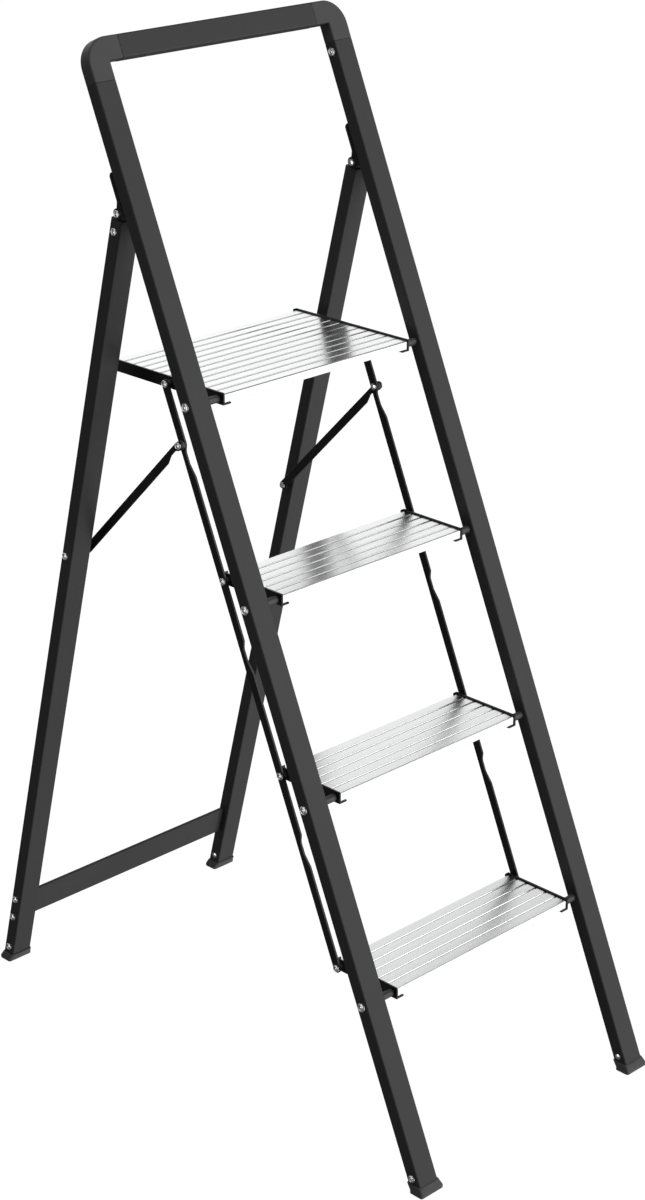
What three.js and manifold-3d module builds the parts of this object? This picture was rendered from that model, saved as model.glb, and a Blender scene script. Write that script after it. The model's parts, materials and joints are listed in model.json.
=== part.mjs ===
// Platform step ladder, set up for use: three treads and a deep top platform between two leaning
// rails, two rear legs on a top hinge, and a fold linkage of bars and braces.
// Millimetres. +X is to the right of a person on the ladder's front, -Y is the climbing side, +Z is
// up. The origin is on the floor under the middle of the ladder.
import * as THREE from 'three';
import { mergeVertices } from 'three/addons/utils/BufferGeometryUtils.js';
import { ConvexGeometry } from 'three/addons/geometries/ConvexGeometry.js';
import Module from 'manifold-3d';

const wasm = await Module();
wasm.setup();

// ---------------------------------------------------------------- driving dimensions

const WIDTH = 463; // over the outer faces of the rails, and of the rear legs
const LEAN = THREE.MathUtils.degToRad(23.3); // rails, from the vertical
const SPLAY = THREE.MathUtils.degToRad(14.5); // rear legs, from the vertical

const TUBE_W = 35; // tube section across the ladder
const TUBE_D = 20.5; // tube section front to back
const TUBE_R = 2.5; // radius of the tube's long edges
const WALL = 1.5;
const GAP = 0.3; // between pieces that only touch
const HOLE_GAP = 0.4; // round a shank in its hole

const RAIL_TOP = 1514.5; // along the rail, where the corner pieces begin
const FRAME_TOP = 1571.8; // along the rail, the top face of the top bar
const BAR_H = 32.1;
const BAR_HALF = 174; // half of the top bar's length
const CORNER_R = 36; // outer radius of the corner pieces
const CORNER_LIP = 0.4; // the bar hangs this much below the corner pieces

const TREAD_1 = 249.4; // height of the lowest tread's top face
const RISE = 251; // from each tread to the next
const STEP_D = 109.8; // front to back of a tread
const PLATFORM_D = 220.9;
const STEP_FRONT = 8.5; // from the pivot to the tread's front
const PLATFORM_FRONT = 9.4;
const PIVOT_DROP = 7.4; // pivots below the treads' top faces
const TREAD_T = 12;
const PLATE_T = 2.4; // the tread's top plate
const SKIRT_T = 2;
const LIP_W = 3.2; // inward lip under each skirt
const LIP_T = 1.4;
const RIB_PITCH = 56; // of the ribs under the plate
const RIB_T = 1.8;
const GROOVE_PITCH = 18.7;
const GROOVE_DEPTH = 1.1;

const BRACKET_X = 175; // outer face of the tread brackets, from the middle of the ladder
const BRACKET_T = 2.7;
const BRACKET_RISE = 2; // bracket's top edge above the tread
const FLANGE_W = 11; // bracket's inward flange under the tread
const FLANGE_T = 2.4;
const RETURN_W = 5; // bracket's inward return behind the tread
const RETURN_T = 1.8;

const CRANK = 95.2; // from each rail pivot back to the link-bar joint
const LINK_X = 180.2; // inner face of the link bars
const LINK_T = 3;
const LINK_W = 12.6;
const NOTCH_DEPTH = 5; // of the notches that let the bars pass the treads' bushes
const BRACE_X = 188;
const BRACE_T = 3;
const BRACE_W = 12;
const BRACE_DROP = 83.2; // brace bolt, along the link bar below the platform's joint

const HINGE_S = 1350.7; // top hinge, along the rail
const HINGE_OFF = 33.6; // and behind the rail's front face
const HINGE_TO_BRACE = 526.4; // along the rear leg from the hinge down to the brace pivot
const BRACE_OFF = 12.9; // that pivot behind the leg's front face

const CROSSBAR_T0 = 74.4; // bottom of the rear crossbar, up the leg from the floor
const CROSSBAR_H = 46.2;
const CROSSBAR_D = 5.2;
const CROSSBAR_OFF = 10; // its front face behind the legs' front faces

const FOOT_W = 43;
const FOOT_D = 23.4;
const FOOT_H = 12.5;
const SOLE_T = 5;
const PLUG_TOP = 45; // of the boots' plugs, above the floor
const FRONT_RIVET = 27; // along the tube from the floor
const REAR_RIVET = 23;

const BRACKET_TOP = 1403; // top of the hinge brackets, along the rail
const BRACKET_CROWN = 6; // how far they stand behind the rail there
const EAR_R = 7.5; // of the hinge brackets' cheeks, round the bolt
const CHEEK_T = 3;

const PIN_R = 3;
const RIVET_R = 2.5; // of the rivets through the boots
const HEAD_R = 5.5;
const HEAD_H = 2.1;
const PIVOT_HEAD_R = 6.5;
const SET_HEAD_R = 4.8; // of the low heads on the inner ends
const SET_HEAD_H = 2;
const WASHER_R = 5;
const BUSH_R = 5.4;
const PIN_SIDES = 12;
const PAST = 5; // how far a cutting solid runs past the faces it opens

// ---------------------------------------------------------------- derived places

const HALF = WIDTH / 2;
const TUBE_MID_X = HALF - TUBE_W / 2;
const INNER_X = HALF - TUBE_W; // inner faces of the rails and the legs
const AXIS_OFF = TUBE_D / 2;
const SIDES = [['left', -1], ['right', 1]];

// A point of the rails' plane, given along the rail and behind its front face, as height and depth.
const railHeight = (s, off) => s * Math.cos(LEAN) - off * Math.sin(LEAN);
const railDepth = (s, off) => s * Math.sin(LEAN) + off * Math.cos(LEAN);
const alongRail = (height, off) => (height + off * Math.sin(LEAN)) / Math.cos(LEAN);

const hingeHeight = railHeight(HINGE_S, HINGE_OFF);
const hingeDepth = railDepth(HINGE_S, HINGE_OFF);
const HINGE_T = (hingeHeight - AXIS_OFF * Math.sin(SPLAY)) / Math.cos(SPLAY); // up the rear leg
const LEG_TOP = HINGE_T - 8;
const legFootDepth = hingeDepth - AXIS_OFF * Math.cos(SPLAY) + HINGE_T * Math.sin(SPLAY);

// The boots' soles are set a little under the lean of their tubes.
const frontFootMid = TUBE_D / Math.cos(LEAN) / 2 - 1.5;
const rearFootMid = TUBE_D / Math.cos(SPLAY) / 2 + 1.2; // from the foot of the rear legs' group
const MIDDLE = (frontFootMid + legFootDepth + rearFootMid) / 2; // of the ladder, front to back

const TREADS = ['step_1', 'step_2', 'step_3', 'platform'].map((name, level) => {
  const top = TREAD_1 + level * RISE;
  const s = alongRail(top - PIVOT_DROP, AXIS_OFF);
  const isPlatform = name === 'platform';
  return {
    name,
    s,
    height: top - PIVOT_DROP,
    depth: railDepth(s, AXIS_OFF),
    front: isPlatform ? -PLATFORM_FRONT : -STEP_FRONT,
    length: isPlatform ? PLATFORM_D : STEP_D,
  };
});
const [STEP_1, , , PLATFORM] = TREADS;

// The link bars' line: every joint is CRANK behind its rail pivot, on the level.
const LINK_OFF = AXIS_OFF + CRANK * Math.cos(LEAN);
const jointS = (tread) => tread.s + CRANK * Math.sin(LEAN);
const BRACE_S = jointS(PLATFORM) - BRACE_DROP;

// ---------------------------------------------------------------- solids

function toSolid(geometry) {
  const bare = geometry.clone();
  bare.deleteAttribute('normal');
  bare.deleteAttribute('uv');
  const merged = mergeVertices(bare, 1e-4);
  return new wasm.Manifold(new wasm.Mesh({
    numProp: 3,
    vertProperties: new Float32Array(merged.attributes.position.array),
    triVerts: new Uint32Array(merged.index.array),
  }));
}

function toGeometry(solid) {
  const mesh = solid.getMesh();
  const geometry = new THREE.BufferGeometry();
  geometry.setAttribute('position', new THREE.BufferAttribute(mesh.vertProperties, 3));
  geometry.setIndex(new THREE.BufferAttribute(mesh.triVerts, 1));
  return geometry;
}

const join = (first, ...others) => toGeometry(
  others.reduce((body, part) => body.add(toSolid(part)), toSolid(first)),
);
const cut = (body, ...tools) => toGeometry(
  tools.reduce((left, tool) => left.subtract(toSolid(tool)), toSolid(body)),
);

const span = (side, near, far) => (side > 0 ? [near, far] : [-far, -near]);

function box([x0, x1], [y0, y1], [z0, z1]) {
  const geometry = new THREE.BoxGeometry(x1 - x0, y1 - y0, z1 - z0);
  return geometry.translate((x0 + x1) / 2, (y0 + y1) / 2, (z0 + z1) / 2);
}

// Extrudes an outline drawn as (depth, height) across the ladder, from |x| = near to far on one side.
function across(shape, near, far, side) {
  const geometry = new THREE.ExtrudeGeometry(shape, {
    depth: far - near, bevelEnabled: false, curveSegments: 7,
  });
  geometry.applyMatrix4(new THREE.Matrix4().makeBasis(
    new THREE.Vector3(0, 1, 0), new THREE.Vector3(0, 0, 1), new THREE.Vector3(1, 0, 0),
  ));
  return geometry.translate(side > 0 ? near : -far, 0, 0);
}

// A turned piece lying across the ladder: the profile holds (radius, |x|) pairs.
function turned(profile, side, y, z) {
  const points = profile.map(([radius, x]) => new THREE.Vector2(radius, x));
  const geometry = new THREE.LatheGeometry(points, PIN_SIDES);
  return geometry.rotateZ(side > 0 ? -Math.PI / 2 : Math.PI / 2).translate(0, y, z);
}

// A domed rivet head on the outside of |x| = face, as profile points from its rim to the axis.
function domedHead(face, radius, height) {
  return [[radius, face], [radius * 0.8, face + height * 0.8], [0, face + height]];
}

// A low head set against the inside of |x| = face, as points from the axis to the shank.
function setHead(face, radius = SET_HEAD_R, shank = PIN_R) {
  return [[0, face - SET_HEAD_H], [radius * 0.75, face - SET_HEAD_H], [radius, face - 1],
    [radius, face], [shank, face]];
}

const shaftHole = (x0, x1, side, y, z, radius = PIN_R) => turned(
  [[0, x0], [radius + HOLE_GAP, x0], [radius + HOLE_GAP, x1], [0, x1]], side, y, z,
);

function roundedRect(width, height, radius, steps = 2) {
  const shape = new THREE.Shape();
  const corners = [[width / 2 - radius, radius, -90], [width / 2 - radius, height - radius, 0],
    [radius - width / 2, height - radius, 90], [radius - width / 2, radius, 180]];
  corners.forEach(([x, y, start]) => {
    for (let step = 0; step <= steps; step += 1) {
      const turn = THREE.MathUtils.degToRad(start + (90 * step) / steps);
      const [px, py] = [x + radius * Math.cos(turn), y + radius * Math.sin(turn)];
      if (shape.curves.length || step) shape.lineTo(px, py);
      else shape.moveTo(px, py);
    }
  });
  shape.closePath();
  return shape;
}

// A solid bar of the tube's section from z = low to high, drawn larger on all sides by grow.
function tubeEnvelope(side, low, high, grow = 0) {
  const shape = roundedRect(TUBE_W + 2 * grow, TUBE_D + 2 * grow, TUBE_R + Math.min(grow, 0));
  const geometry = new THREE.ExtrudeGeometry(shape, { depth: high - low, bevelEnabled: false });
  return geometry.translate(side * TUBE_MID_X, -grow, low);
}

// Everything below the given height, for a piece that leans by the given angle in its group.
function floorCutter(height, lean) {
  const reach = WIDTH;
  return box([-reach, reach], [-reach, reach], [-reach, height]).rotateX(lean);
}

// A leaning tube of the frame, hollow, cut level with the floor above its boot's sole.
function openTube(side, top, lean) {
  const below = -2 * TUBE_D;
  return cut(
    tubeEnvelope(side, below, top),
    tubeEnvelope(side, below - PAST, top + PAST, -WALL),
    floorCutter(SOLE_T + GAP, lean),
  );
}

// A hole across one tube, through both of its walls.
const crossHole = (side, y, z, radius = PIN_R) => shaftHole(
  INNER_X - PAST, HALF + PAST, side, y, z, radius,
);

// A strip with round ends between two heights, as an outline of (depth, height).
function strip(mid, low, high, width, frontEdge = []) {
  const shape = new THREE.Shape();
  const radius = width / 2;
  shape.moveTo(mid + radius, low);
  shape.lineTo(mid + radius, high);
  shape.absarc(mid, high, radius, 0, Math.PI, false);
  frontEdge.forEach(([depth, height]) => shape.lineTo(depth, height));
  shape.lineTo(mid - radius, low);
  shape.absarc(mid, low, radius, Math.PI, 2 * Math.PI, false);
  return shape;
}

// Points down an edge that dips inwards and comes back, so that the strip clears a bush.
function notch(edge, top, bottom, depth) {
  const points = [];
  const ramp = [[0, 0], [0.18, 0.85], [0.25, 1], [0.6, 1], [1, 0]];
  ramp.forEach(([along, into]) => points.push([edge + depth * into, top - along * (top - bottom)]));
  return points;
}

// ---------------------------------------------------------------- materials

const paint = (color, roughness, metalness) => ({ color, roughness, metalness });
const FINISH = {
  frame: paint(0x2a2a2b, 0.5, 0.4),
  plastic: paint(0x3a3a3a, 0.6, 0),
  steel: paint(0x141414, 0.45, 0.3),
  tread: paint(0xd4d6d8, 0.35, 0.9),
  rivet: paint(0xc4c6c8, 0.25, 1),
  rubber: paint(0x303030, 0.8, 0),
};

function add(group, name, geometry, finish) {
  geometry.computeVertexNormals();
  const mesh = new THREE.Mesh(geometry, new THREE.MeshStandardMaterial(FINISH[finish]));
  mesh.name = name;
  group.add(mesh);
}

// ---------------------------------------------------------------- front frame

function rail(side) {
  const pivots = TREADS.map((plan) => crossHole(side, AXIS_OFF, plan.s));
  return cut(
    openTube(side, RAIL_TOP, LEAN),
    ...pivots,
    crossHole(side, AXIS_OFF, FRONT_RIVET, RIVET_R),
  );
}

// The top bar's section, drawn smaller by the inset, extruded across the ladder from x0 to x1.
function barEnvelope(inset, x0, x1) {
  const shape = roundedRect(BAR_H - 2 * inset, TUBE_D - 2 * inset, TUBE_R - inset);
  const geometry = new THREE.ExtrudeGeometry(shape, { depth: x1 - x0, bevelEnabled: false });
  return geometry.rotateY(Math.PI / 2).translate(x0, inset, FRAME_TOP - BAR_H / 2);
}

const topBar = () => cut(
  barEnvelope(0, -BAR_HALF, BAR_HALF),
  barEnvelope(WALL, -BAR_HALF - PAST, BAR_HALF + PAST),
);

// The moulded corner, with a plug that goes down the rail and one that goes into the bar.
function topCorner(side) {
  const under = FRAME_TOP - BAR_H + CORNER_LIP;
  const past = 12; // the outline runs past both seams and is trimmed there
  const deep = [-PAST, TUBE_D + PAST];
  const [plugDown, plugAcross, plugOverlap] = [35, 30, 10];
  const outline = new THREE.Shape();
  outline.moveTo(side * HALF, RAIL_TOP - past);
  outline.lineTo(side * HALF, FRAME_TOP - CORNER_R);
  const centre = [side * (HALF - CORNER_R), FRAME_TOP - CORNER_R];
  outline.absarc(...centre, CORNER_R, side > 0 ? 0 : Math.PI, Math.PI / 2, side < 0);
  outline.lineTo(side * (BAR_HALF - past), FRAME_TOP);
  outline.lineTo(side * (BAR_HALF - past), under);
  outline.lineTo(side * INNER_X, under);
  outline.lineTo(side * INNER_X, RAIL_TOP - past);
  const body = new THREE.ExtrudeGeometry(outline, {
    depth: TUBE_D - 2 * TUBE_R, bevelThickness: TUBE_R, bevelSize: TUBE_R, bevelOffset: -TUBE_R,
    bevelSegments: 2, curveSegments: 8,
  }).rotateX(Math.PI / 2).translate(0, TUBE_D - TUBE_R, 0);
  const trimmed = cut(
    body,
    box(span(side, INNER_X - PAST, HALF + PAST), deep, [RAIL_TOP - 2 * past, RAIL_TOP + GAP]),
    box(span(side, BAR_HALF - 2 * past, BAR_HALF + GAP), deep, [under - PAST, FRAME_TOP + PAST]),
  );
  const railPlug = tubeEnvelope(side, RAIL_TOP - plugDown, RAIL_TOP + plugOverlap, -WALL - GAP);
  const barPlug = barEnvelope(
    WALL + GAP, ...span(side, BAR_HALF - plugAcross, BAR_HALF + plugOverlap),
  );
  return join(trimmed, railPlug, barPlug);
}

// The channel riveted to the back of the rail, whose two cheeks carry the hinge bolt.
function hingeBracket(side) {
  const back = TUBE_D + GAP;
  const crownOff = back + BRACKET_CROWN;
  const [bottom, shoulder, webT] = [HINGE_S - EAR_R, HINGE_S + 2 * EAR_R, 2.5];
  const outline = new THREE.Shape();
  outline.moveTo(back, bottom);
  outline.lineTo(HINGE_OFF, bottom);
  outline.absarc(HINGE_OFF, HINGE_S, EAR_R, -Math.PI / 2, THREE.MathUtils.degToRad(110), false);
  outline.lineTo(crownOff, shoulder);
  outline.lineTo(crownOff, BRACKET_TOP - BRACKET_CROWN);
  outline.absarc(back, BRACKET_TOP - BRACKET_CROWN, BRACKET_CROWN, 0, Math.PI / 2, false);
  const inset = 0.5; // from the rail's faces
  const [near, far] = [INNER_X + inset, HALF - inset];
  const between = span(side, near + CHEEK_T, far - CHEEK_T);
  const behind = HINGE_OFF + 2 * EAR_R;
  return cut(
    across(outline, near, far, side),
    box(between, [back + webT, behind], [bottom - PAST, BRACKET_TOP - CHEEK_T]),
    box(between, [back - PAST, behind], [bottom - PAST, HINGE_S + 10]),
    shaftHole(near - PAST, far + PAST, side, HINGE_OFF, HINGE_S),
  );
}

// The rubber boot at the foot of a leaning tube, with a plug up inside the tube.
function foot(side, lean, baseMid, rivetHeight) {
  const [clip, rim, wall] = [3, 1, 1.6];
  const loop = (halfX, halfY, y, z) => [-1, 1].flatMap((i) => [-1, 1].flatMap((j) => [
    new THREE.Vector3(side * TUBE_MID_X + i * halfX, y + j * (halfY - clip), z),
    new THREE.Vector3(side * TUBE_MID_X + i * (halfX - clip), y + j * halfY, z),
  ]));
  const tubeHalf = TUBE_D / Math.cos(lean) / 2;
  const tubeMid = FOOT_H * Math.tan(lean) + tubeHalf;
  const boot = new ConvexGeometry([
    ...loop(FOOT_W / 2 - rim, FOOT_D / 2 - rim, baseMid, 0),
    ...loop(FOOT_W / 2, FOOT_D / 2, baseMid, rim),
    ...loop(FOOT_W / 2, FOOT_D / 2, baseMid, SOLE_T),
    ...loop(TUBE_W / 2 + wall, tubeHalf + wall, tubeMid, FOOT_H),
  ]);
  const below = -2 * TUBE_D;
  const socket = cut(tubeEnvelope(side, below, PLUG_TOP, GAP), floorCutter(SOLE_T, lean));
  const plug = cut(
    tubeEnvelope(side, below, PLUG_TOP, -WALL - GAP),
    floorCutter(SOLE_T - 2, lean),
    crossHole(side, AXIS_OFF, rivetHeight, RIVET_R),
  );
  return join(cut(boot, socket.rotateX(-lean)), plug.rotateX(-lean));
}

// ---------------------------------------------------------------- rear frame

function rearLeg(side) {
  return cut(
    openTube(side, LEG_TOP, -SPLAY),
    crossHole(side, BRACE_OFF, HINGE_T - HINGE_TO_BRACE),
    crossHole(side, AXIS_OFF, REAR_RIVET, RIVET_R),
  );
}

// The plug in the top of the leg, with the tongue that turns between the bracket's cheeks.
function hingePlug(side) {
  const [radius, plugLength, rooted] = [EAR_R - GAP, 42, 10];
  const [near, far] = [INNER_X + CHEEK_T + 1, HALF - CHEEK_T - 1];
  const tongue = new THREE.Shape();
  tongue.moveTo(AXIS_OFF + radius, LEG_TOP - rooted);
  tongue.lineTo(AXIS_OFF + radius, HINGE_T);
  tongue.absarc(AXIS_OFF, HINGE_T, radius, 0, Math.PI, false);
  tongue.lineTo(AXIS_OFF - radius, LEG_TOP - rooted);
  const plug = tubeEnvelope(side, LEG_TOP - plugLength, LEG_TOP, -WALL - GAP);
  return cut(join(plug, across(tongue, near, far, side)), crossHole(side, AXIS_OFF, HINGE_T));
}

// A shallow channel, open to the rear, with closed ends for the rivets through the legs.
function rearCrossbar() {
  const [half, endT] = [INNER_X - GAP, 2];
  const [y0, y1] = [CROSSBAR_OFF, CROSSBAR_OFF + CROSSBAR_D];
  const [z0, z1] = [CROSSBAR_T0, CROSSBAR_T0 + CROSSBAR_H];
  return cut(
    box([-half, half], [y0, y1], [z0, z1]),
    box([-half + endT, half - endT], [y0 + WALL, y1 + PAST], [z0 + WALL, z1 - WALL]),
  );
}

// ---------------------------------------------------------------- treads

// The extruded tread: a grooved plate with a skirt and lip at both edges and ribs underneath.
function tread({ front, length }) {
  const top = PIVOT_DROP;
  const bottom = top - TREAD_T;
  const under = top - PLATE_T;
  const back = front + length;
  const points = [[front, bottom], [front + LIP_W, bottom], [front + LIP_W, bottom + LIP_T],
    [front + SKIRT_T, bottom + LIP_T], [front + SKIRT_T, under]];
  const ribs = Math.round(length / RIB_PITCH) - 1;
  for (let rib = 1; rib <= ribs; rib += 1) {
    const [near, far] = [-1, 1].map((end) => front + (length * rib) / (ribs + 1) + (end * RIB_T) / 2);
    points.push([near, under], [near, bottom + 1], [far, bottom + 1], [far, under]);
  }
  points.push([back - SKIRT_T, under], [back - SKIRT_T, bottom + LIP_T],
    [back - LIP_W, bottom + LIP_T], [back - LIP_W, bottom], [back, bottom], [back, top - 1],
    [back - 1, top]);
  const grooves = Math.round(length / GROOVE_PITCH) - 1;
  const [halfMouth, halfFloor] = [2, 1.4];
  for (let groove = grooves; groove >= 1; groove -= 1) {
    const mid = front + (length * groove) / (grooves + 1);
    points.push([mid + halfMouth, top], [mid + halfFloor, top - GROOVE_DEPTH],
      [mid - halfFloor, top - GROOVE_DEPTH], [mid - halfMouth, top]);
  }
  points.push([front + 1.5, top], [front, top - 1.5]);
  const outline = new THREE.Shape(points.map(([y, z]) => new THREE.Vector2(y, z)));
  const half = BRACKET_X - BRACKET_T - GAP;
  return across(outline, -half, half, 1);
}

// The angle that closes a tread's end: a plate, a flange under the tread and a return behind it.
function treadBracket({ front, length }, side) {
  const [near, far] = [BRACKET_X - BRACKET_T, BRACKET_X];
  const top = PIVOT_DROP + BRACKET_RISE;
  const bottom = PIVOT_DROP - TREAD_T - GAP - FLANGE_T;
  const [noseT, noseR] = [1.4, 2.5];
  const [y0, y1] = [front - noseT, front + length + GAP + RETURN_T];
  const outline = new THREE.Shape();
  outline.moveTo(y0, bottom);
  outline.lineTo(y1, bottom);
  outline.lineTo(y1, top);
  outline.lineTo(y0 + noseR, top);
  outline.absarc(y0 + noseR, top - noseR, noseR, Math.PI / 2, Math.PI, false);
  const plate = across(outline, near, far, side);
  const flange = box(span(side, near - FLANGE_W, far), [y0, y1], [bottom, bottom + FLANGE_T]);
  const returned = box(span(side, near - RETURN_W, far), [y1 - RETURN_T, y1], [bottom, top]);
  return cut(
    join(plate, flange, returned),
    shaftHole(near - FLANGE_W, far + PAST, side, 0, 0),
    shaftHole(near - PAST, far + PAST, side, CRANK, 0),
  );
}

// ---------------------------------------------------------------- linkage

function linkBar(side) {
  const edge = LINK_OFF - LINK_W / 2;
  const [notchTop, notchEnd] = [84, 129]; // below the joint of the tread above
  const notches = TREADS.slice(1).reverse()
    .flatMap((plan) => notch(edge, jointS(plan) - notchTop, jointS(plan) - notchEnd, NOTCH_DEPTH));
  const outline = strip(LINK_OFF, jointS(STEP_1), jointS(PLATFORM), LINK_W, notches);
  const hole = (s) => shaftHole(LINK_X - PAST, LINK_X + LINK_T + PAST, side, LINK_OFF, s);
  return cut(
    across(outline, LINK_X, LINK_X + LINK_T, side),
    ...TREADS.map((plan) => hole(jointS(plan))),
    hole(BRACE_S),
  );
}

// A brace drawn upright with its bolt hole at the origin and its lower pivot straight below.
function brace(side, length) {
  const [notchTop, notchEnd, notchDepth] = [-4, -38, 4.6];
  const edge = -BRACE_W / 2;
  const outline = strip(0, -length, 0, BRACE_W, notch(edge, notchTop, notchEnd, notchDepth));
  const hole = (z) => shaftHole(BRACE_X - PAST, BRACE_X + BRACE_T + PAST, side, 0, z);
  return cut(across(outline, BRACE_X, BRACE_X + BRACE_T, side), hole(0), hole(-length));
}

// ---------------------------------------------------------------- pins and rivets

// From the rail's outer face to the bracket: a head, a shank, a bush as shoulder, a set end.
function pivotPin(side, s) {
  const endR = 4.3; // clear of the bracket's flange
  return turned([
    ...setHead(BRACKET_X - BRACKET_T - GAP, endR), [PIN_R, BRACKET_X + GAP],
    [BUSH_R, BRACKET_X + GAP], [BUSH_R, INNER_X - GAP], [PIN_R, INNER_X - GAP],
    [PIN_R, HALF + GAP], ...domedHead(HALF + GAP, PIVOT_HEAD_R, HEAD_H),
  ], side, AXIS_OFF, s);
}

// From the bracket through the link bar, with a washer between them.
function jointPin(side, s) {
  const linkOut = LINK_X + LINK_T;
  return turned([
    [0, BRACKET_X - BRACKET_T], [PIN_R, BRACKET_X - BRACKET_T], [PIN_R, BRACKET_X + GAP],
    [WASHER_R, BRACKET_X + GAP], [WASHER_R, LINK_X - GAP], [PIN_R, LINK_X - GAP],
    [PIN_R, linkOut + GAP], ...domedHead(linkOut + GAP, HEAD_R, HEAD_H),
  ], side, LINK_OFF, s);
}

// Through the link bar and the brace, with a broad bush between them.
function braceBolt(side) {
  const [linkOut, braceOut, bushR] = [LINK_X + LINK_T, BRACE_X + BRACE_T, 6.2];
  return turned([
    ...setHead(LINK_X - GAP), [PIN_R, linkOut + GAP], [bushR, linkOut + GAP],
    [bushR, BRACE_X - GAP], [PIN_R, BRACE_X - GAP], [PIN_R, braceOut + GAP],
    ...domedHead(braceOut + GAP, HEAD_R, HEAD_H),
  ], side, LINK_OFF, BRACE_S);
}

// The leg's half of the lower brace pivot: a head outside and a bush that stops short of the brace.
function legBush(side) {
  const bushEnd = BRACE_X + BRACE_T + GAP;
  return turned([
    [0, bushEnd], [BUSH_R, bushEnd], [BUSH_R, INNER_X - GAP], [PIN_R, INNER_X - GAP],
    [PIN_R, HALF + GAP], ...domedHead(HALF + GAP, HEAD_R, HEAD_H),
  ], side, BRACE_OFF, HINGE_T - HINGE_TO_BRACE);
}

// The brace's half of that pivot: a head on its inner face and a short shank.
function braceRivet(side, length) {
  return turned([
    ...setHead(BRACE_X - GAP), [PIN_R, BRACE_X + BRACE_T], [0, BRACE_X + BRACE_T],
  ], side, 0, -length);
}

// Through both cheeks of a hinge bracket, its heads against their outer faces.
function hingeBolt(side) {
  const [near, far] = [INNER_X + 0.2, HALF - 0.2];
  return turned(
    [...setHead(near), [PIN_R, far], ...domedHead(far, HEAD_R, HEAD_H)], side, HINGE_OFF, HINGE_S,
  );
}

function footRivet(side, height) {
  return turned([
    ...setHead(INNER_X - GAP, SET_HEAD_R, RIVET_R), [RIVET_R, HALF + GAP],
    ...domedHead(HALF + GAP, HEAD_R, HEAD_H),
  ], side, AXIS_OFF, height);
}

// ---------------------------------------------------------------- assembly

function leaningGroup(depth, angle) {
  const group = new THREE.Group();
  group.position.set(0, depth - MIDDLE, 0);
  group.rotation.x = angle;
  return group;
}

const ladder = new THREE.Group();
const front = leaningGroup(0, -LEAN); // its z runs up the rails, its y away from their front faces
const rear = leaningGroup(legFootDepth, SPLAY); // the same for the rear legs
const frontFeet = leaningGroup(0, 0); // their y and z are level
const rearFeet = leaningGroup(legFootDepth, 0);
ladder.add(front, rear, frontFeet, rearFeet);

add(front, 'top_bar', topBar(), 'frame');
add(rear, 'rear_crossbar', rearCrossbar(), 'frame');

const braceTop = new THREE.Vector2(railDepth(BRACE_S, LINK_OFF), railHeight(BRACE_S, LINK_OFF));
const legT = HINGE_T - HINGE_TO_BRACE;
const braceFoot = new THREE.Vector2(
  legFootDepth + BRACE_OFF * Math.cos(SPLAY) - legT * Math.sin(SPLAY),
  BRACE_OFF * Math.sin(SPLAY) + legT * Math.cos(SPLAY),
);
const braceLength = braceTop.distanceTo(braceFoot);
const braces = new THREE.Group();
braces.position.set(0, braceTop.x - MIDDLE, braceTop.y);
braces.rotation.x = Math.atan2(braceFoot.x - braceTop.x, braceTop.y - braceFoot.y);
ladder.add(braces);

SIDES.forEach(([name, side]) => {
  add(front, `rail_${name}`, rail(side), 'frame');
  add(front, `top_corner_${name}`, topCorner(side), 'plastic');
  add(front, `hinge_bracket_${name}`, hingeBracket(side), 'steel');
  add(front, `hinge_bolt_${name}`, hingeBolt(side), 'rivet');
  add(front, `link_bar_${name}`, linkBar(side), 'steel');
  add(front, `brace_bolt_${name}`, braceBolt(side), 'rivet');
  add(front, `front_foot_rivet_${name}`, footRivet(side, FRONT_RIVET), 'rivet');
  add(frontFeet, `front_foot_${name}`, foot(side, LEAN, frontFootMid, FRONT_RIVET), 'rubber');
  add(rear, `rear_leg_${name}`, rearLeg(side), 'frame');
  add(rear, `hinge_plug_${name}`, hingePlug(side), 'plastic');
  add(rear, `brace_bush_${name}`, legBush(side), 'rivet');
  add(rear, `rear_foot_rivet_${name}`, footRivet(side, REAR_RIVET), 'rivet');
  add(rearFeet, `rear_foot_${name}`, foot(side, -SPLAY, rearFootMid, REAR_RIVET), 'rubber');
  add(braces, `brace_${name}`, brace(side, braceLength), 'steel');
  add(braces, `brace_rivet_${name}`, braceRivet(side, braceLength), 'rivet');
});

TREADS.forEach((plan) => {
  const level = new THREE.Group();
  level.position.set(0, plan.depth - MIDDLE, plan.height);
  ladder.add(level);
  add(level, `${plan.name}_tread`, tread(plan), 'tread');
  SIDES.forEach(([name, side]) => {
    add(level, `${plan.name}_bracket_${name}`, treadBracket(plan, side), 'steel');
    add(front, `${plan.name}_pivot_${name}`, pivotPin(side, plan.s), 'rivet');
    add(front, `${plan.name}_joint_${name}`, jointPin(side, jointS(plan)), 'rivet');
  });
});

export default ladder;
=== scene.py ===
"""The looks of the folding platform step ladder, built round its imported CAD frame. Metres.

+X is to the right of a person on the ladder's front, -Y is the climbing side and +Z is up.
"""
import json
import math

import bmesh
import bpy
from mathutils import Matrix, Vector

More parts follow.
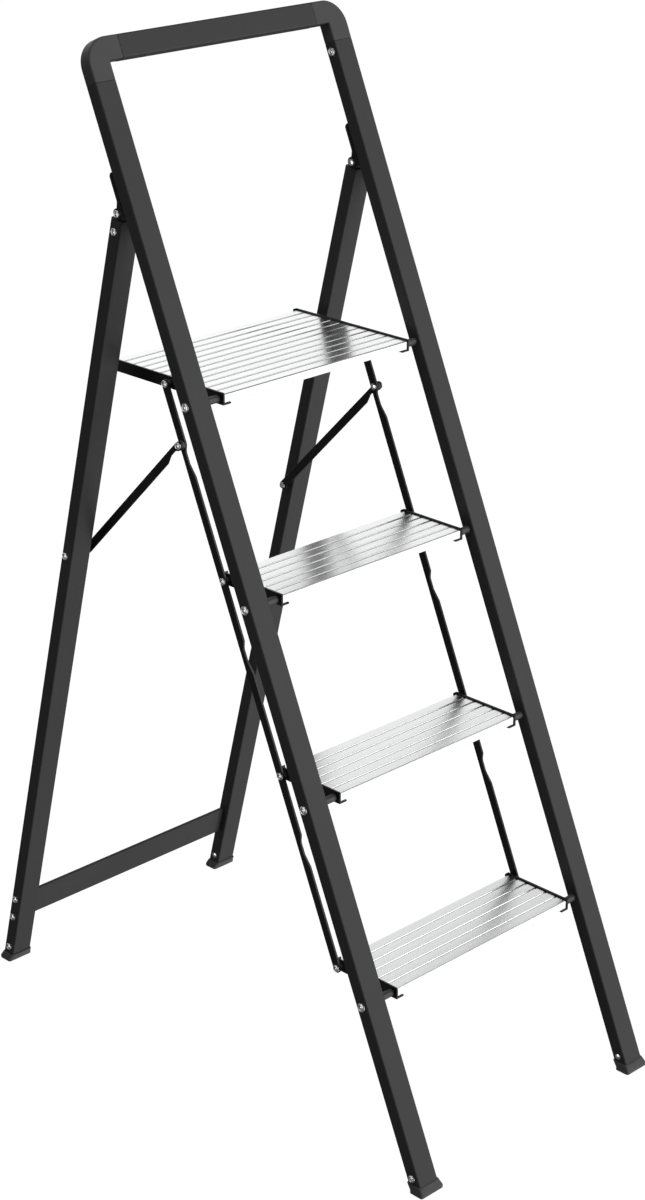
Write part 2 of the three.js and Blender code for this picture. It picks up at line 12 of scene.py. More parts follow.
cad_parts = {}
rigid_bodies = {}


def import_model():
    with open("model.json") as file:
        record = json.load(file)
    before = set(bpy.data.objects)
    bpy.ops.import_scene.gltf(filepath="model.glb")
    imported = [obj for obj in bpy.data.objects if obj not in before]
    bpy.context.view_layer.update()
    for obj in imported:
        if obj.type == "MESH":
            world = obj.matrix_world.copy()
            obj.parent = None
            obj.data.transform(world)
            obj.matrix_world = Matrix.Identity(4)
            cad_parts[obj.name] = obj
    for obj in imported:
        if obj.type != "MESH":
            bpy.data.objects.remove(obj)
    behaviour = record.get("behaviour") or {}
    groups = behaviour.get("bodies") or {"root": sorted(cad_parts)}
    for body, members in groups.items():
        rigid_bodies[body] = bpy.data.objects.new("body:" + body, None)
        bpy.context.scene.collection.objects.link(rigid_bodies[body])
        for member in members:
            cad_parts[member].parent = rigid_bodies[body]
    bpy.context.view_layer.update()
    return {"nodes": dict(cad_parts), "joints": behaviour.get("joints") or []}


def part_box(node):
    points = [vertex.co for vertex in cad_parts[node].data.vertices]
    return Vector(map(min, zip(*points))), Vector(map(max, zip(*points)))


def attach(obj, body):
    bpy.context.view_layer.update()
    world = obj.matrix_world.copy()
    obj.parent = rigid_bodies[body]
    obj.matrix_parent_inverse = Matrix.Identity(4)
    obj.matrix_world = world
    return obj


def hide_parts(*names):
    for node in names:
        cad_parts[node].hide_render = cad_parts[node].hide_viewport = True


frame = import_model()

# ---------------------------------------------------------------- dimensions, as in the CAD part

WIDTH = 0.463
LEAN = math.radians(23.3)
SPLAY = math.radians(14.5)
TUBE_W = 0.035
TUBE_D = 0.0205
TUBE_R = 0.0025
WALL = 0.0015
GAP = 0.0003

RAIL_TOP = 1.5145
FRAME_TOP = 1.5718
BAR_H = 0.0321
BAR_HALF = 0.174
CORNER_R = 0.036
CORNER_LIP = 0.0004

CRANK = 0.0952
BRACKET_X = 0.175
BRACKET_T = 0.0027
LINK_X = 0.1802
LINK_T = 0.003
BRACE_X = 0.188
BRACE_T = 0.003

FOOT_W = 0.043
FOOT_D = 0.0234
FOOT_H = 0.0125
SOLE_T = 0.005
REAR_RIVET = 0.023
LEG_TOP_BELOW_HINGE = 0.008

PIN_R = 0.003
RIVET_R = 0.0025
WASHER_R = 0.005

# ---------------------------------------------------------------- dimensions of the finer details

# The boots: their rounded corners, the collar round the tube and the socket that takes it.
FOOT_R = 0.0035
COLLAR_T = 0.0016
COLLAR_EDGE = 0.0007
SOCKET_R = 0.003
FIT = 0.0002

# The rivets that the CAD part leaves out: how far up their tube, or below the hinge, they sit.
CORNER_RIVET = 1.5017
CROSSBAR_RIVETS = (0.081, 0.1155)
CROSSBAR_RIVET_OFF = 0.012
PLUG_RIVET_BELOW_HINGE = 0.0253
SHORT_RIVET_R = 0.0024
RIVET_ROOT = 0.001
SEAT = 0.0001

# The hollow rivet heads, as (radius, height).
PIVOT_HEAD = (0.0065, 0.0022)
JOINT_HEAD = (0.0054, 0.0021)
BOLT_HEAD = (0.0055, 0.0021)
BUSH_HEAD = (0.0056, 0.0021)
HINGE_HEAD = (0.0053, 0.0021)
CORNER_HEAD = (0.006, 0.0019)

# The set heads at the pins' inner ends, from the tip down to the face, as (radius, height) pairs.
TIP_R = 0.0005
PIVOT_SET_HEAD = ((TIP_R, 0.002), (0.0038, 0.0016), (0.0043, 0.001), (0.0043, GAP))
BOLT_SET_HEAD = ((TIP_R, 0.0022), (0.0036, 0.002), (0.0047, 0.0013), (WASHER_R, GAP))
BRACE_SET_HEAD = ((TIP_R, 0.0024), (0.0036, 0.0022), (0.0047, 0.0014), (WASHER_R, GAP))
TUBE_SET_HEAD = ((TIP_R, 0.0022), (0.0032, 0.0018), (0.0044, 0.001), (0.0046, GAP))
HINGE_SET_HEAD = ((TIP_R, 0.0019), (0.0036, 0.0017), (0.0048, 0.001), (0.0052, -FIT))

# The spacer sleeves, as (bore radius, outer radius, width of the taken-off rim).
PIVOT_SPACER = (0.0035, 0.0054, 0.0005)
BOLT_SPACER = (0.0035, 0.0062, 0.0004)
BUSH_SPACER = (0.0031, 0.0052, 0.0005)
SPACER_RIM_END = 0.0008

# How far the edges of each kind of piece are rounded.
TUBE_EDGE = 0.0003
TREAD_EDGE = 0.00035
PRESSED_EDGE = 0.0004
MOULDED_EDGE = 0.0005

# Edges that turn more are sharp; faces that turn less are one; points that are closer are one.
SHARP = math.radians(32)
FLAT = math.radians(1)
SAME_PLACE = 1e-6

ARC_STEPS = 6
CORNER_STEPS = 16
TURNED_SIDES = 32

# ---------------------------------------------------------------- places

HALF = WIDTH / 2
INNER_X = HALF - TUBE_W
TUBE_MID_X = HALF - TUBE_W / 2
AXIS_OFF = TUBE_D / 2
SIDES = {"left": -1, "right": 1}
TREADS = ("step_1", "step_2", "step_3", "platform")

JOINTS = {joint["name"]: Vector(joint["pos_m"]) for joint in frame["joints"]}
HINGE = JOINTS["rear_frame_hinge"]
BRACE_TOP = JOINTS["brace_pivot"]


def along_tube(height, off, lean):
    """How far up a leaning tube a height is reached, that far behind the tube's front face."""
    return (height + off * math.sin(lean)) / math.cos(lean)


def leaning_frame(point, off, lean):
    """The frame of a leaning tube, z up along it and y = 0 on its front face, through the point."""
    s = along_tube(point.z, off, lean)
    start = point.y - s * math.sin(lean) - off * math.cos(lean)
    return Matrix.Translation((0, start, 0)) @ Matrix.Rotation(-lean, 4, "X")


FRONT = leaning_frame(JOINTS["step_1_pivot"], AXIS_OFF, LEAN)
REAR = leaning_frame(HINGE, AXIS_OFF, -SPLAY)
HINGE_T = along_tube(HINGE.z, AXIS_OFF, -SPLAY)
LEG_TOP = HINGE_T - LEG_TOP_BELOW_HINGE

# ---------------------------------------------------------------- materials


class Surface:
    """A node material on one Principled shader, with textures that follow the piece."""

    def __init__(self, name, color, roughness, metallic=0.0, specular=0.5):
        self.material = bpy.data.materials.new(name)
        self.material.use_nodes = True
        self.tree = self.material.node_tree
        self.shader = self.tree.nodes["Principled BSDF"]
        self.color = color
        self.shader.inputs["Base Color"].default_value = (*color, 1)
        self.shader.inputs["Roughness"].default_value = roughness
        self.shader.inputs["Metallic"].default_value = metallic
        self.shader.inputs["Specular IOR Level"].default_value = specular
        self.coordinates = self.tree.nodes.new("ShaderNodeTexCoord").outputs["Object"]
        self.normal = None

    def noise(self, scale, detail=2.0, stretch=(1, 1, 1)):
        mapping = self.tree.nodes.new("ShaderNodeMapping")
        mapping.inputs["Scale"].default_value = stretch
        self.tree.links.new(self.coordinates, mapping.inputs["Vector"])
        texture = self.tree.nodes.new("ShaderNodeTexNoise")
        texture.inputs["Scale"].default_value = scale
        texture.inputs["Detail"].default_value = detail
        self.tree.links.new(mapping.outputs["Vector"], texture.inputs["Vector"])
        return texture.outputs["Fac"]

    def spread(self, source, low, high):
        """The noise's middle range, mapped to the range low to high."""
        node = self.tree.nodes.new("ShaderNodeMapRange")
        node.inputs["From Min"].default_value = 0.3
        node.inputs["From Max"].default_value = 0.7
        node.inputs["To Min"].default_value = low
        node.inputs["To Max"].default_value = high
        self.tree.links.new(source, node.inputs["Value"])
        return node.outputs["Result"]

    def vary_color(self, source, low, high):
        """Base colour scaled between low and high along the noise."""
        mix = self.tree.nodes.new("ShaderNodeMix")
        mix.data_type = "RGBA"
        mix.inputs["A"].default_value = (*(low * part for part in self.color), 1)
        mix.inputs["B"].default_value = (*(high * part for part in self.color), 1)
        self.tree.links.new(self.spread(source, 0, 1), mix.inputs["Factor"])
        self.tree.links.new(mix.outputs["Result"], self.shader.inputs["Base Color"])

    def vary_roughness(self, source, low, high):
        self.tree.links.new(self.spread(source, low, high), self.shader.inputs["Roughness"])

    def bump(self, source, height, strength=1.0):
        node = self.tree.nodes.new("ShaderNodeBump")
        node.inputs["Distance"].default_value = height
        node.inputs["Strength"].default_value = strength
        self.tree.links.new(source, node.inputs["Height"])
        if self.normal:
            self.tree.links.new(self.normal, node.inputs["Normal"])
        self.normal = node.outputs["Normal"]
        self.tree.links.new(self.normal, self.shader.inputs["Normal"])


def frame_coat():
    """Dark grey powder coat: a fine pebble over long, faint draw lines of the tube."""
    coat = Surface("frame_coat", color=(0.0512, 0.0512, 0.0522), roughness=0.42, specular=0.25)
    lines = coat.noise(260, stretch=(1, 1, 0.01))
    pebble = coat.noise(1300, detail=3)
    coat.vary_color(coat.noise(6, detail=3), low=0.93, high=1.07)
    coat.vary_roughness(pebble, low=0.36, high=0.5)
    coat.bump(lines, height=0.00002, strength=0.4)
    coat.bump(pebble, height=0.00003, strength=0.5)
    return coat.material


def corner_plastic():
    """Moulded dark plastic with a spark-eroded grain."""
    plastic = Surface("corner_plastic", color=(0.083, 0.083, 0.083), roughness=0.5, specular=0.3)
    grain = plastic.noise(1900, detail=4)
    plastic.vary_color(plastic.noise(25), low=0.95, high=1.05)
    plastic.vary_roughness(grain, low=0.44, high=0.6)
    plastic.bump(grain, height=0.00004, strength=0.6)
    return plastic.material


def linkage_coat():
    """Black coat on pressed steel, smoother than the tubes' coat."""
    coat = Surface("linkage_coat", color=(0.012, 0.012, 0.012), roughness=0.35, specular=0.35)
    ripple = coat.noise(420, detail=3)
    coat.vary_color(coat.noise(30), low=0.8, high=1.25)
    coat.vary_roughness(ripple, low=0.28, high=0.45)
    coat.bump(ripple, height=0.00003, strength=0.35)
    return coat.material


def tread_aluminium():
    """Bright anodised extrusion, its die lines running along the tread."""
    metal = Surface("tread_aluminium", color=(0.93, 0.935, 0.94), roughness=0.2, metallic=1.0)
    broad = metal.noise(160, detail=2, stretch=(0.01, 1, 1))
    fine = metal.noise(3200, detail=2, stretch=(0.003, 1, 1))
    metal.vary_color(broad, low=0.96, high=1.02)
    metal.vary_roughness(fine, low=0.22, high=0.3)
    metal.bump(fine, height=0.000003, strength=0.3)
    metal.shader.inputs["Anisotropic"].default_value = 0.6
    # Highlights stretch across the die lines, on the flat faces and on the skirts alike.
    tangent = metal.tree.nodes.new("ShaderNodeCombineXYZ")
    tangent.inputs["Y"].default_value = 0.7
    tangent.inputs["Z"].default_value = 0.7
    metal.tree.links.new(tangent.outputs["Vector"], metal.shader.inputs["Tangent"])
    return metal.material


def rivet_steel():
    """Bright zinc plating, with faint turning marks and dull spots."""
    steel = Surface("rivet_steel", color=(0.78, 0.78, 0.79), roughness=0.24, metallic=1.0)
    spots = steel.noise(900, detail=3)
    steel.vary_color(spots, low=0.85, high=1.05)
    steel.vary_roughness(spots, low=0.16, high=0.34)
    steel.bump(steel.noise(3500), height=0.00001, strength=0.4)
    return steel.material


def foot_rubber():
    """Matt dark rubber with a dusty bloom and a fine moulded grain."""
    rubber = Surface("foot_rubber", color=(0.12, 0.12, 0.12), roughness=0.7, specular=0.3)
    grain = rubber.noise(1500, detail=4)
    rubber.vary_color(rubber.noise(70, detail=4), low=0.85, high=1.15)
    rubber.vary_roughness(grain, low=0.6, high=0.82)
    rubber.bump(grain, height=0.00006, strength=0.6)
    return rubber.material


def spacer_plastic():
    """Mid-grey nylon of the spacer sleeves."""
    nylon = Surface("spacer_plastic", color=(0.085, 0.085, 0.087), roughness=0.45, specular=0.4)
    grain = nylon.noise(1200, detail=3)
    nylon.vary_color(grain, low=0.85, high=1.15)
    nylon.bump(grain, height=0.00003, strength=0.5)
    return nylon.material


FRAME_COAT = frame_coat()
CORNER_PLASTIC = corner_plastic()
LINKAGE_COAT = linkage_coat()
TREAD_METAL = tread_aluminium()
RIVET_STEEL = rivet_steel()
FOOT_RUBBER = foot_rubber()
SPACER_PLASTIC = spacer_plastic()

# ---------------------------------------------------------------- mesh building


def loft(loops, closed=False):
    """Skins a list of loops of points; closed joins the last loop to the first."""
    bm = bmesh.new()
    rings = [[bm.verts.new(point) for point in loop] for loop in loops]
    pairs = list(zip(rings, rings[1:]))
    if closed:
        pairs.append((rings[-1], rings[0]))
    for lower, upper in pairs:
        for i, vertex in enumerate(lower):
            j = (i + 1) % len(lower)
            bm.faces.new((vertex, lower[j], upper[j], upper[i]))
    if not closed:
        bm.faces.new(rings[0])
        bm.faces.new(rings[-1])
    bmesh.ops.recalc_face_normals(bm, faces=bm.faces)
    return bm


def rounded_loop(half_x, half_y, radius):
    """A rounded rectangle about the origin, as (x, y) pairs."""
    corners = ((1, -1, -90), (1, 1, 0), (-1, 1, 90), (-1, -1, 180))
    points = []
    for sign_x, sign_y, start in corners:
        for step in range(ARC_STEPS + 1):
            turn = math.radians(start + 90 * step / ARC_STEPS)
            points.append((
                sign_x * (half_x - radius) + radius * math.cos(turn),
                sign_y * (half_y - radius) + radius * math.sin(turn),
            ))
    return points


def place(name, bm, matrix, body, material, replaced=()):
    """Makes the piece, smooth but for its sharp edges, and hangs it on its body."""
    mesh = bpy.data.meshes.new(name)
    bm.to_mesh(mesh)
    bm.free()
    mesh.shade_smooth()
    mesh.set_sharp_from_angle(angle=SHARP)
    mesh.materials.append(material)
    piece = bpy.data.objects.new(name, mesh)
    bpy.context.scene.collection.objects.link(piece)
    piece.matrix_world = matrix
    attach(piece, body)
    if replaced:
        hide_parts(*replaced)
    return piece


def soften(piece, width, segments=3):
    """Rounds the piece's sharp edges."""
    bevel = piece.modifiers.new("soft_edges", "BEVEL")
    bevel.width = width
    bevel.segments = segments
    bevel.limit_method = "ANGLE"
    bevel.angle_limit = SHARP
    flatten = piece.modifiers.new("flat_faces_stay_flat", "WEIGHTED_NORMAL")
    flatten.weight = 100


def refined(node, body, material, width):
    """The CAD node's shape again, with its flat faces cleaned and its edges rounded."""
    bm = bmesh.new()
    bm.from_mesh(frame["nodes"][node].data)
    bmesh.ops.remove_doubles(bm, verts=bm.verts, dist=SAME_PLACE)
    bmesh.ops.dissolve_limit(bm, angle_limit=FLAT, verts=bm.verts, edges=bm.edges)
    piece = place(f"{node}_shown", bm, Matrix.Identity(4), body, material, [node])
    soften(piece, width, segments=2)


# ---------------------------------------------------------------- tubes, bar and corners


def tube(name, side, lean, top, matrix, body, replaced):
    """A hollow leaning tube, cut level with the floor in its boot and square at its top."""
    def loop(inset, at_top):
        outline = rounded_loop(TUBE_W / 2 - inset, TUBE_D / 2 - inset, TUBE_R - inset)
        return [
            (side * TUBE_MID_X + x, AXIS_OFF + y,
             top if at_top else along_tube(SOLE_T + GAP, AXIS_OFF + y, lean))
            for x, y in outline
        ]

    loops = [loop(0, False), loop(0, True), loop(WALL, True), loop(WALL, False)]
    piece = place(name, loft(loops, closed=True), matrix, body, FRAME_COAT,
                  [replaced])
    soften(piece, TUBE_EDGE, segments=2)


def top_bar():
    """The hollow bar between the two corner mouldings."""
    def loop(inset, x):
        outline = rounded_loop(TUBE_D / 2 - inset, BAR_H / 2 - inset, TUBE_R - inset)
        return [(x, AXIS_OFF + y, FRAME_TOP - BAR_H / 2 + z) for y, z in outline]

    loops = [loop(0, -BAR_HALF), loop(0, BAR_HALF), loop(WALL, BAR_HALF), loop(WALL, -BAR_HALF)]
    piece = place("top_bar_tube", loft(loops, closed=True), FRONT, "front_frame", FRAME_COAT,
                  ["top_bar"])
    soften(piece, TUBE_EDGE, segments=2)


def top_corner(name, side):
    """The moulded corner between the rail's seam and the bar's, its long edges rounded."""
    under = FRAME_TOP - BAR_H + CORNER_LIP
    outline = [(HALF, RAIL_TOP + GAP)]
    for step in range(CORNER_STEPS + 1):
        turn = math.pi / 2 * step / CORNER_STEPS
        outline.append((HALF - CORNER_R + CORNER_R * math.cos(turn),
                        FRAME_TOP - CORNER_R + CORNER_R * math.sin(turn)))
    outline += [(BAR_HALF + GAP, FRAME_TOP), (BAR_HALF + GAP, under), (INNER_X, under),
                (INNER_X, RAIL_TOP + GAP)]
    bm = bmesh.new()
    front = bm.faces.new([bm.verts.new((side * x, 0, z)) for x, z in outline])
    made = bmesh.ops.extrude_face_region(bm, geom=[front])["geom"]
    for vertex in (item for item in made if isinstance(item, bmesh.types.BMVert)):
        vertex.co.y = TUBE_D
    bmesh.ops.recalc_face_normals(bm, faces=bm.faces)

    def on_seam(edge):
        near = 0.001
        return all(v.co.z < RAIL_TOP + near or abs(v.co.x) < BAR_HALF + near
                   for v in edge.verts)

    long_edges = [
        edge for edge in bm.edges
        if abs(edge.verts[0].co.y - edge.verts[1].co.y) < SAME_PLACE and not on_seam(edge)
    ]
    bmesh.ops.bevel(bm, geom=long_edges, offset=TUBE_R, segments=ARC_STEPS, profile=0.5,
                    affect="EDGES")
    piece = place(f"corner_moulding_{name}", bm, FRONT, "front_frame", CORNER_PLASTIC,
                  [f"top_corner_{name}"])
    soften(piece, MOULDED_EDGE)


def boot(name, side, lean, base_y, body, replaced):
    """A rubber boot: a wide sole with a rounded rim, flanks up to a collar, and its socket."""
    tube_x = side * TUBE_MID_X
    origin = (FRONT if lean > 0 else REAR).translation.y
    stretch = TUBE_D / math.cos(lean) / 2

    def loop(half_x, half_y, height, radius, mid_y):
        return [(tube_x + x, mid_y + y, height) for x, y in rounded_loop(half_x, half_y, radius)]

    def tube_mid(height):
        return origin + height * math.tan(lean) + stretch

    def around_tube(past, height):
        return loop(TUBE_W / 2 + past, stretch + past, height, SOCKET_R, tube_mid(height))

    # The sole's rim, as (inset, height).
    rim = ((0.0014, 0.0), (0.0004, 0.0003), (0.0, 0.0011), (0.0, 0.0042), (0.0003, 0.0048))
    loops = [
        loop(FOOT_W / 2 - inset, FOOT_D / 2 - inset, height, FOOT_R - inset, base_y)
        for inset, height in rim
    ]
    # The flanks, as (share of the way from the sole's outline to the collar's, height).
    flanks = ((0.12, 0.0052), (0.95, FOOT_H - 0.0012), (1.0, FOOT_H - 0.0004))
    collar_x, collar_y = TUBE_W / 2 + COLLAR_T, stretch + COLLAR_T
    for share, height in flanks:
        loops.append(loop(
            FOOT_W / 2 + (collar_x - FOOT_W / 2) * share,
            FOOT_D / 2 + (collar_y - FOOT_D / 2) * share,
            height, FOOT_R, base_y + (tube_mid(height) - base_y) * share,
        ))
    loops.append(around_tube(COLLAR_T - COLLAR_EDGE, FOOT_H))
    loops += [around_tube(FIT, height) for height in (FOOT_H, SOLE_T)]
    place(name, loft(loops), Matrix.Identity(4), body, FOOT_RUBBER, [replaced])


# ---------------------------------------------------------------- pins and rivets


def turned(name, profile, side, y, z, matrix, body, material=RIVET_STEEL,
           replaced=()):
    """A turned piece that lies across the ladder, from (radius, |x|) pairs."""
    turns = [math.tau * i / TURNED_SIDES for i in range(TURNED_SIDES)]
    loops = [
        [(side * x, y + radius * math.cos(turn), z + radius * math.sin(turn)) for turn in turns]
        for radius, x in profile
    ]
    place(name, loft(loops), matrix, body, material, replaced)


def hollow_head(face, head):
    """A rivet's head: a rounded collar round a groove, and the set button in its middle."""
    radius, height = head
    steps = ((1.0, 0.0), (1.0, 0.2), (0.95, 0.55), (0.85, 0.85), (0.74, 0.98), (0.66, 1.0),
             (0.59, 0.93), (0.55, 0.75), (0.53, 0.3), (0.5, 0.15), (0.44, 0.15), (0.41, 0.3),
             (0.39, 0.6), (0.33, 0.75), (0.2, 0.84), (0.05, 0.88))
    return [(radius * share, face + height * rise) for share, rise in steps]


def set_head(face, profile, shank):
    """A pin's inner head, which stands inwards from the face, down to the pin's shank."""
    rings = [(radius, face - height) for radius, height in profile]
    return rings + [(shank, rings[-1][1])]


def spacer(name, sleeve, start, end, side, y, z, matrix, body):
    """A plastic sleeve round a pin, between two faces, its outer rims taken off."""
    bore, outer, rim = sleeve
    turned(name, [
        (bore, start + GAP), (outer - rim, start + GAP), (outer, start + SPACER_RIM_END),
        (outer, end - SPACER_RIM_END), (outer - rim, end - GAP), (bore, end - GAP),
    ], side, y, z, matrix, body, SPACER_PLASTIC)


def pivot_pin(level, name, side, s):
    """The pin in the rail that a tread turns on, and the spacer between bracket and rail."""
    node = f"{level}_pivot_{name}"
    turned(node + "_rivet", [
        *set_head(BRACKET_X - BRACKET_T, PIVOT_SET_HEAD, PIN_R),
        (PIN_R, HALF + GAP), *hollow_head(HALF + GAP, PIVOT_HEAD),
    ], side, AXIS_OFF, s, FRONT, "front_frame", replaced=[node])
    spacer(node + "_spacer", PIVOT_SPACER, BRACKET_X, INNER_X, side, AXIS_OFF, s, FRONT,
           "front_frame")


def joint_pin(level, name, side, y, z):
    """The stud that joins a tread's bracket to the link bar."""
    node = f"{level}_joint_{name}"
    bracket_in = BRACKET_X - BRACKET_T
    link_out = LINK_X + LINK_T
    turned(node + "_rivet", [
        (TIP_R, bracket_in), (PIN_R, bracket_in),
        (PIN_R, BRACKET_X + GAP), (WASHER_R, BRACKET_X + GAP), (WASHER_R, LINK_X - GAP),
        (PIN_R, LINK_X - GAP), (PIN_R, link_out + GAP), *hollow_head(link_out + GAP, JOINT_HEAD),
    ], side, y, z, Matrix.Identity(4), level, replaced=[node])


def brace_bolt(name, side):
    """The bolt that joins a link bar to its brace, and the spacer between them."""
    link_out, brace_out = LINK_X + LINK_T, BRACE_X + BRACE_T
    node = f"brace_bolt_{name}"
    turned(node + "_rivet", [
        *set_head(LINK_X, BOLT_SET_HEAD, PIN_R),
        (PIN_R, brace_out + GAP), *hollow_head(brace_out + GAP, BOLT_HEAD),
    ], side, BRACE_TOP.y, BRACE_TOP.z, Matrix.Identity(4), "linkage", replaced=[node])
    spacer(node + "_spacer", BOLT_SPACER, link_out, BRACE_X, side, BRACE_TOP.y, BRACE_TOP.z,
           Matrix.Identity(4), "linkage")


def box_middle(node):
    """The middle of a CAD node's box."""
    low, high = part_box(node)
    return (low + high) / 2


def brace_end(name, side):
    """The bush bolt on the rear leg, and the rivet in the brace's end that meets it."""
    brace_out = BRACE_X + BRACE_T
    node = f"brace_bush_{name}"
    middle = box_middle(node)
    turned(node + "_rivet", [
        (TIP_R, brace_out + GAP), (PIN_R, brace_out + GAP),
        (PIN_R, HALF + GAP), *hollow_head(HALF + GAP, BUSH_HEAD),
    ], side, middle.y, middle.z, Matrix.Identity(4), "rear_frame", replaced=[node])
    spacer(node + "_spacer", BUSH_SPACER, brace_out, INNER_X, side, middle.y, middle.z,
           Matrix.Identity(4), "rear_frame")
    node = f"brace_rivet_{name}"
    middle = box_middle(node)
    turned(node + "_head", [
        *set_head(BRACE_X, BRACE_SET_HEAD, PIN_R), (PIN_R, brace_out), (TIP_R, brace_out),
    ], side, middle.y, middle.z, Matrix.Identity(4), "braces", replaced=[node])


def through_rivet(name, side, s, matrix, body, replaced):
    """A rivet right through a tube, with a small set head inside and a hollow head outside."""
    turned(name, [
        *set_head(INNER_X, TUBE_SET_HEAD, RIVET_R),
        (RIVET_R, HALF + GAP), *hollow_head(HALF + GAP, BOLT_HEAD),
    ], side, AXIS_OFF, s, matrix, body, replaced=[replaced])


def surface_rivet(name, side, face, off, s, matrix, body, head, shank=SHORT_RIVET_R):
    """A rivet head that stands on a face whose outward direction is the given side's."""
    root = face - RIVET_ROOT
    seat = face + SEAT
    turned(name, [
        (TIP_R, root), (shank, root), (shank, seat), *hollow_head(seat, head),
    ], side, off, s, matrix, body)


# ---------------------------------------------------------------- assembly


def build_front_frame(name, side):
    tube(f"rail_tube_{name}", side, LEAN, RAIL_TOP, FRONT, "front_frame", f"rail_{name}")
    top_corner(name, side)
    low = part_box(f"front_foot_{name}")[0]
    boot(f"front_boot_{name}", side, LEAN, low.y + FOOT_D / 2, "front_frame", f"front_foot_{name}")
    rivet = f"front_foot_rivet_{name}"
    s = along_tube(box_middle(rivet).z, AXIS_OFF, LEAN)
    through_rivet(f"front_boot_rivet_{name}", side, s, FRONT, "front_frame", rivet)
    refined(f"hinge_bracket_{name}", "front_frame", LINKAGE_COAT, PRESSED_EDGE)
    # The corner piece's rivet is set in the rail's inner face.
    surface_rivet(f"corner_rivet_{name}", -side, -INNER_X, AXIS_OFF, CORNER_RIVET, FRONT,
                  "front_frame", CORNER_HEAD, RIVET_R)
    hinge = FRONT.inverted() @ HINGE
    turned(f"hinge_rivet_{name}", [
        *set_head(INNER_X, HINGE_SET_HEAD, PIN_R),
        (PIN_R, HALF - FIT), *hollow_head(HALF - FIT, HINGE_HEAD),
    ], side, hinge.y, hinge.z, FRONT, "front_frame", replaced=[f"hinge_bolt_{name}"])


def build_rear_frame(name, side):
    tube(f"leg_tube_{name}", side, -SPLAY, LEG_TOP, REAR, "rear_frame", f"rear_leg_{name}")
    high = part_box(f"rear_foot_{name}")[1]
    boot(f"rear_boot_{name}", side, -SPLAY, high.y - FOOT_D / 2, "rear_frame",
         f"rear_foot_{name}")
    through_rivet(f"rear_boot_rivet_{name}", side, REAR_RIVET, REAR, "rear_frame",
                  f"rear_foot_rivet_{name}")
    refined(f"hinge_plug_{name}", "rear_frame", CORNER_PLASTIC, MOULDED_EDGE)
    for index, t in enumerate(CROSSBAR_RIVETS):
        surface_rivet(f"crossbar_rivet_{index + 1}_{name}", side, HALF, CROSSBAR_RIVET_OFF, t, REAR,
                      "rear_frame", BOLT_HEAD)
    surface_rivet(f"hinge_plug_rivet_{name}", side, HALF, AXIS_OFF,
                  HINGE_T - PLUG_RIVET_BELOW_HINGE, REAR, "rear_frame", JOINT_HEAD)


def build_treads():
    for level in TREADS:
        pivot = JOINTS[f"{level}_pivot"]
        refined(f"{level}_tread", level, TREAD_METAL, TREAD_EDGE)
        for name, side in SIDES.items():
            refined(f"{level}_bracket_{name}", level, LINKAGE_COAT, PRESSED_EDGE)
            pivot_pin(level, name, side, along_tube(pivot.z, AXIS_OFF, LEAN))
            joint_pin(level, name, side, pivot.y + CRANK, pivot.z)


def build_linkage(name, side):
    refined(f"link_bar_{name}", "linkage", LINKAGE_COAT, PRESSED_EDGE)
    refined(f"brace_{name}", "braces", LINKAGE_COAT, PRESSED_EDGE)
    brace_bolt(name, side)
    brace_end(name, side)


top_bar()
refined("rear_crossbar", "rear_frame", FRAME_COAT, MOULDED_EDGE)
build_treads()
for side_name, sign in SIDES.items():
    build_front_frame(side_name, sign)
    build_rear_frame(side_name, sign)
    build_linkage(side_name, sign)

# ---------------------------------------------------------------- stage, light and camera

FLOOR_HALF = 60
FLOOR_GLOW = 0.93
FLOOR_BELOW_SOLES = 0.0002
ROOM_BASE = 0.12
WHITE = (1, 1, 1, 1)
LIT_POINT = (0, 0, 0.7)

# The camera turns clockwise from +Y, seen from above, and tilts down from the horizon, in degrees.
CAMERA_AT = (-2.3521, -2.4096, 2.0328)
CAMERA_TILT = 22.422
CAMERA_TURN = 44.670
CAMERA_LENS = 78.08
CAMERA_SENSOR = 36
CAMERA_SHIFT = (-0.0028, 0.0088)


def floor():
    """A wide pale floor, bright by itself so that only soft shadows mark it."""
    bm = bmesh.new()
    bmesh.ops.create_grid(bm, x_segments=2, y_segments=2, size=FLOOR_HALF)
    mesh = bpy.data.meshes.new("floor")
    bm.to_mesh(mesh)
    bm.free()
    surface = Surface("floor_paint", color=(0.3, 0.3, 0.3), roughness=0.9, specular=0.0)
    surface.vary_color(surface.noise(3, detail=4), low=0.98, high=1.02)
    surface.shader.inputs["Emission Color"].default_value = WHITE
    surface.shader.inputs["Emission Strength"].default_value = FLOOR_GLOW
    mesh.materials.append(surface.material)
    ground = bpy.data.objects.new("floor", mesh)
    bpy.context.scene.collection.objects.link(ground)
    ground.location.z = -FLOOR_BELOW_SOLES
    ground.visible_diffuse = False
    ground.visible_glossy = False


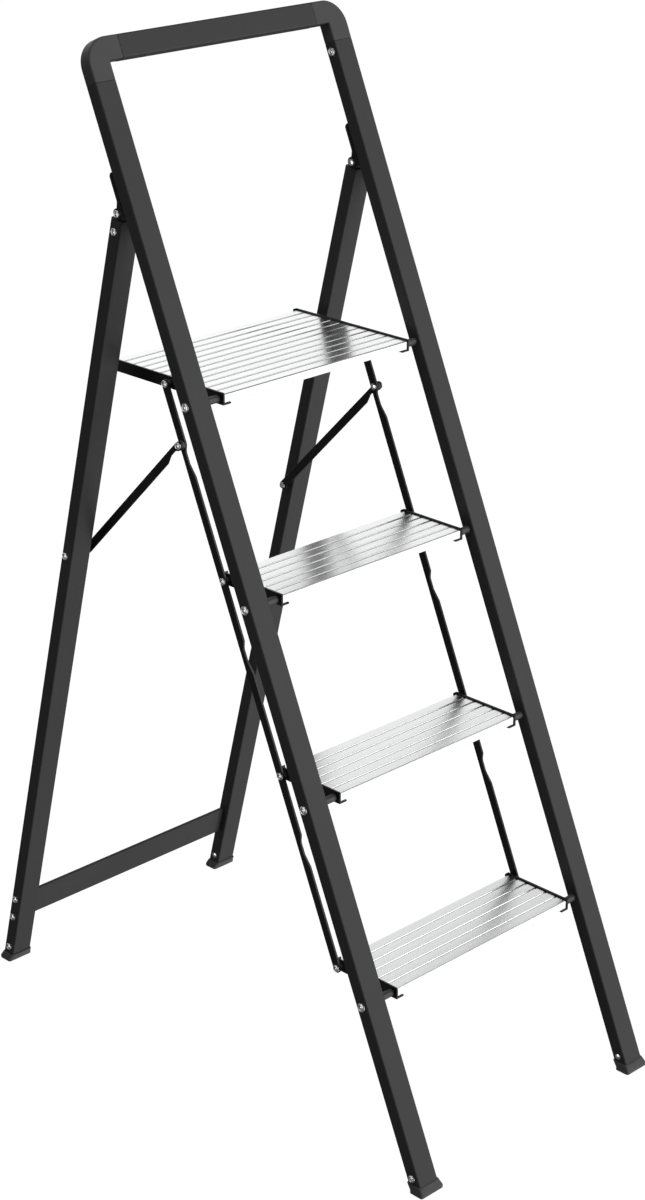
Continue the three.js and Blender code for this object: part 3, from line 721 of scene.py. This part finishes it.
def surround():
    """The room's soft light: a dim base and broad bright walls with soft edges."""
    # Each wall as (direction, (outer, inner) edge in degrees from it, strength).
    walls = (
        ((0.55, -0.83, -0.12), (64, 28), 1.05),
        ((0.42, 0.83, 0.17), (44, 13), 1.07),
    )
    world = bpy.data.worlds.new("studio")
    world.use_nodes = True
    nodes, links = world.node_tree.nodes, world.node_tree.links
    direction = nodes.new("ShaderNodeTexCoord").outputs["Generated"]
    total = None
    for axis, (outer, inner), strength in walls:
        dot = nodes.new("ShaderNodeVectorMath")
        dot.operation = "DOT_PRODUCT"
        dot.inputs[1].default_value = Vector(axis).normalized()
        links.new(direction, dot.inputs[0])
        wall = nodes.new("ShaderNodeMapRange")
        wall.interpolation_type = "SMOOTHSTEP"
        wall.inputs["From Min"].default_value = math.cos(math.radians(outer))
        wall.inputs["From Max"].default_value = math.cos(math.radians(inner))
        wall.inputs["To Max"].default_value = strength
        links.new(dot.outputs["Value"], wall.inputs["Value"])
        add = nodes.new("ShaderNodeMath")
        add.inputs[0].default_value = ROOM_BASE
        if total:
            links.new(total, add.inputs[0])
        links.new(wall.outputs["Result"], add.inputs[1])
        total = add.outputs["Value"]
    lit = nodes["Background"]
    lit.inputs["Color"].default_value = WHITE
    links.new(total, lit.inputs["Strength"])
    # Beyond the floor the camera sees plain white.
    plain = nodes.new("ShaderNodeBackground")
    plain.inputs["Color"].default_value = WHITE
    choose = nodes.new("ShaderNodeMixShader")
    links.new(nodes.new("ShaderNodeLightPath").outputs["Is Camera Ray"], choose.inputs["Fac"])
    links.new(lit.outputs["Background"], choose.inputs[1])
    links.new(plain.outputs["Background"], choose.inputs[2])
    links.new(choose.outputs["Shader"], nodes["World Output"].inputs["Surface"])
    bpy.context.scene.world = world


def softbox(name, position, size, power, only=None):
    """A panel of light at the position, facing the ladder, for all pieces or only some."""
    light = bpy.data.lights.new(name, "AREA")
    light.shape = "RECTANGLE"
    light.size, light.size_y = size
    light.energy = power
    lamp = bpy.data.objects.new(name, light)
    bpy.context.scene.collection.objects.link(lamp)
    lamp.location = position
    lamp.visible_camera = False
    direction = Vector(LIT_POINT) - Vector(position)
    lamp.rotation_euler = direction.to_track_quat("-Z", "Y").to_euler()
    if only:
        lamp.light_linking.receiver_collection = only


def pieces_of(material):
    """A collection of the pieces that wear the material, for a light of their own."""
    collection = bpy.data.collections.new(f"{material.name}_pieces")
    for piece in bpy.context.scene.objects:
        if piece.type == "MESH" and material in piece.data.materials[:]:
            collection.objects.link(piece)
    return collection


def studio():
    surround()
    softbox("key", (4.6, -7.6, 3.0), size=(5.0, 4.0), power=110)
    softbox("overhead", (-1.2, 0.6, 4.6), size=(3.6, 3.6), power=32)
    # The treads mirror the room, so they have a bright panel behind them on the left as well.
    softbox("tread_wall", (-4.4, 4.4, 2.8), size=(5.5, 4.5), power=55,
            only=pieces_of(TREAD_METAL))
    softbox("rivet_kicker", (-3.6, 0.8, 0.5), size=(3.0, 2.6), power=52,
            only=pieces_of(RIVET_STEEL))


def camera():
    data = bpy.data.cameras.new("camera")
    data.sensor_width = CAMERA_SENSOR
    data.lens = CAMERA_LENS
    data.shift_x, data.shift_y = CAMERA_SHIFT
    view = bpy.data.objects.new("camera", data)
    bpy.context.scene.collection.objects.link(view)
    view.location = CAMERA_AT
    view.rotation_euler = (math.radians(90 - CAMERA_TILT), 0, math.radians(-CAMERA_TURN))
    bpy.context.scene.camera = view


floor()
studio()
camera()
bpy.context.scene.view_settings.view_transform = "Standard"
